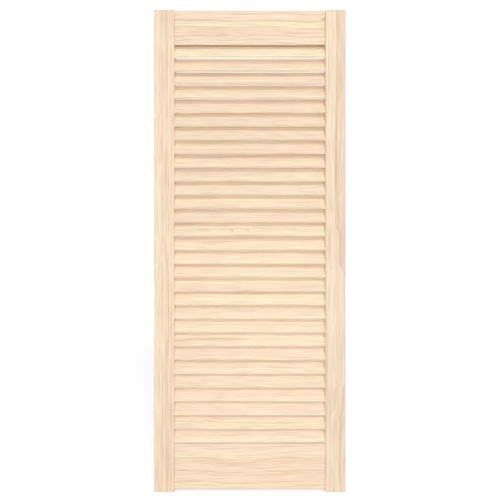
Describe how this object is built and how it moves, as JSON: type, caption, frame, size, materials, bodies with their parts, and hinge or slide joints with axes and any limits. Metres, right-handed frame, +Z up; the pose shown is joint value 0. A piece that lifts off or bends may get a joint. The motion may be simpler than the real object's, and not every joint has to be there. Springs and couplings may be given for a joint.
{
  "type": "louvred cabinet door",
  "caption": "Bare pine louvred cabinet door: stiles and rails frame a stack of fixed sloping slats that hide what is behind and let air through.",
  "frame": {"origin": "under the middle of the door, at the level of the stile feet", "axes": "+Z up along the stiles, front face towards -Y, +X to the right as seen from the front"},
  "size_m": [0.3944, 0.021, 0.993],
  "materials": {
    "pine_stile": "planed and sanded, bare",
    "pine_rail": "planed and sanded, bare",
    "pine_slat": "planed and sanded, bare",
    "beech_dowel": "fluted, bare"
  },
  "bodies": {
    "root": {"left_stile": "pine_stile", "right_stile": "pine_stile", "top_rail": "pine_rail", "bottom_rail": "pine_rail", "slat_01": "pine_slat", "slat_02": "pine_slat", "slat_03": "pine_slat", "slat_04": "pine_slat", "slat_05": "pine_slat", "slat_06": "pine_slat", "slat_07": "pine_slat", "slat_08": "pine_slat", "slat_09": "pine_slat", "slat_10": "pine_slat", "slat_11": "pine_slat", "slat_12": "pine_slat", "slat_13": "pine_slat", "slat_14": "pine_slat", "slat_15": "pine_slat", "slat_16": "pine_slat", "slat_17": "pine_slat", "slat_18": "pine_slat", "slat_19": "pine_slat", "slat_20": "pine_slat", "slat_21": "pine_slat", "slat_22": "pine_slat", "slat_23": "pine_slat", "slat_24": "pine_slat", "slat_25": "pine_slat", "slat_26": "pine_slat", "slat_27": "pine_slat", "slat_28": "pine_slat", "slat_29": "pine_slat", "dowel_top_left_upper": "beech_dowel", "dowel_top_left_lower": "beech_dowel", "dowel_top_right_upper": "beech_dowel", "dowel_top_right_lower": "beech_dowel", "dowel_bottom_left_upper": "beech_dowel", "dowel_bottom_left_lower": "beech_dowel", "dowel_bottom_right_upper": "beech_dowel", "dowel_bottom_right_lower": "beech_dowel"}
  },
  "joints": []
}
